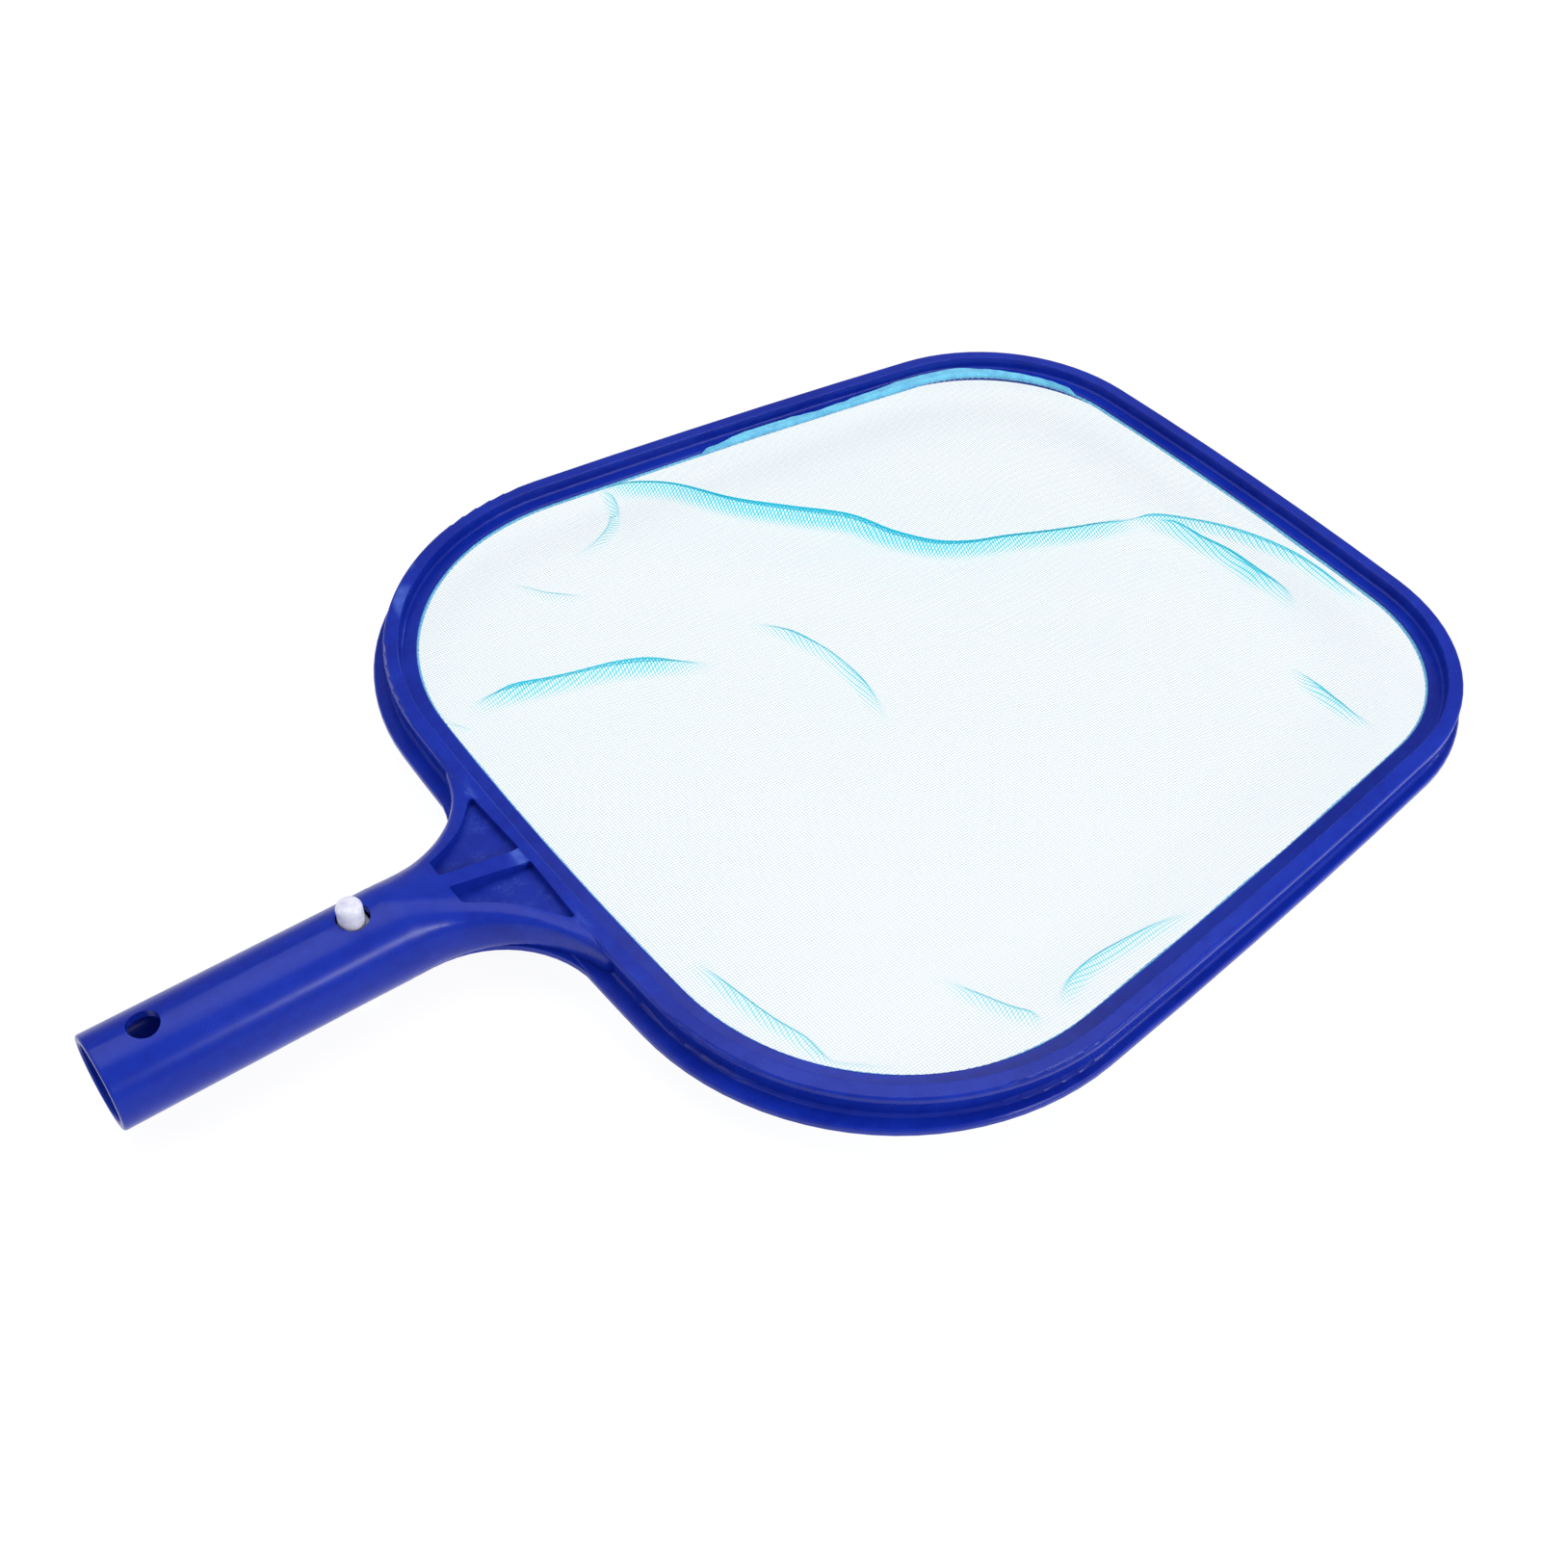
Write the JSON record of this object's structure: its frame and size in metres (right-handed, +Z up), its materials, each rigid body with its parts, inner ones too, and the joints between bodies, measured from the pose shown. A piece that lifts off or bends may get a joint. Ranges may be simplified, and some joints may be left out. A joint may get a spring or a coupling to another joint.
{
  "type": "leaf skimmer net",
  "caption": "Flat hand skimmer for pools: moulded hoop and socket handle, fine net clamped under the hoop's ledge, and a sprung two-button clip for a telescopic pole.",
  "frame": {"origin": "under the middle of the bounding box, level with the tip of the lower snap button", "axes": "+X from the handle's open end to the hoop's leading edge, +Z up out of the net, +Y to the left"},
  "size_m": [0.4302, 0.2964, 0.04],
  "materials": {
    "blue_plastic": "semi-gloss moulded polypropylene, royal blue",
    "ring_plastic": "moulded polypropylene, royal blue",
    "hem_tape": "light blue folded and stitched tape",
    "net": "very fine square nylon mesh, nearly white with a cyan tint",
    "clip_nylon": "translucent natural nylon"
  },
  "bodies": {
    "skimmer": {"frame_moulding": "blue_plastic", "net_clamp_ring": "ring_plastic", "net_hem_tape": "hem_tape", "net_panel": "net", "clip_bend": "clip_nylon"},
    "upper_leg": {"clip_leg_upper": "clip_nylon"},
    "lower_leg": {"clip_leg_lower": "clip_nylon"}
  },
  "joints": [
    {"name": "upper_button_press", "type": "hinge", "parent": "skimmer", "child": "upper_leg", "pos_m": [-0.18634, 0, 0.0232], "axis": [0, 1, 0], "range_deg": [0, 7.3], "stiffness_Nm_per_rad": 3, "springref_deg": -2.86},
    {"name": "lower_button_press", "type": "hinge", "parent": "skimmer", "child": "lower_leg", "pos_m": [-0.18634, 0, 0.0168], "axis": [0, -1, 0], "range_deg": [0, 7.3], "stiffness_Nm_per_rad": 3, "springref_deg": -2.86}
  ]
}
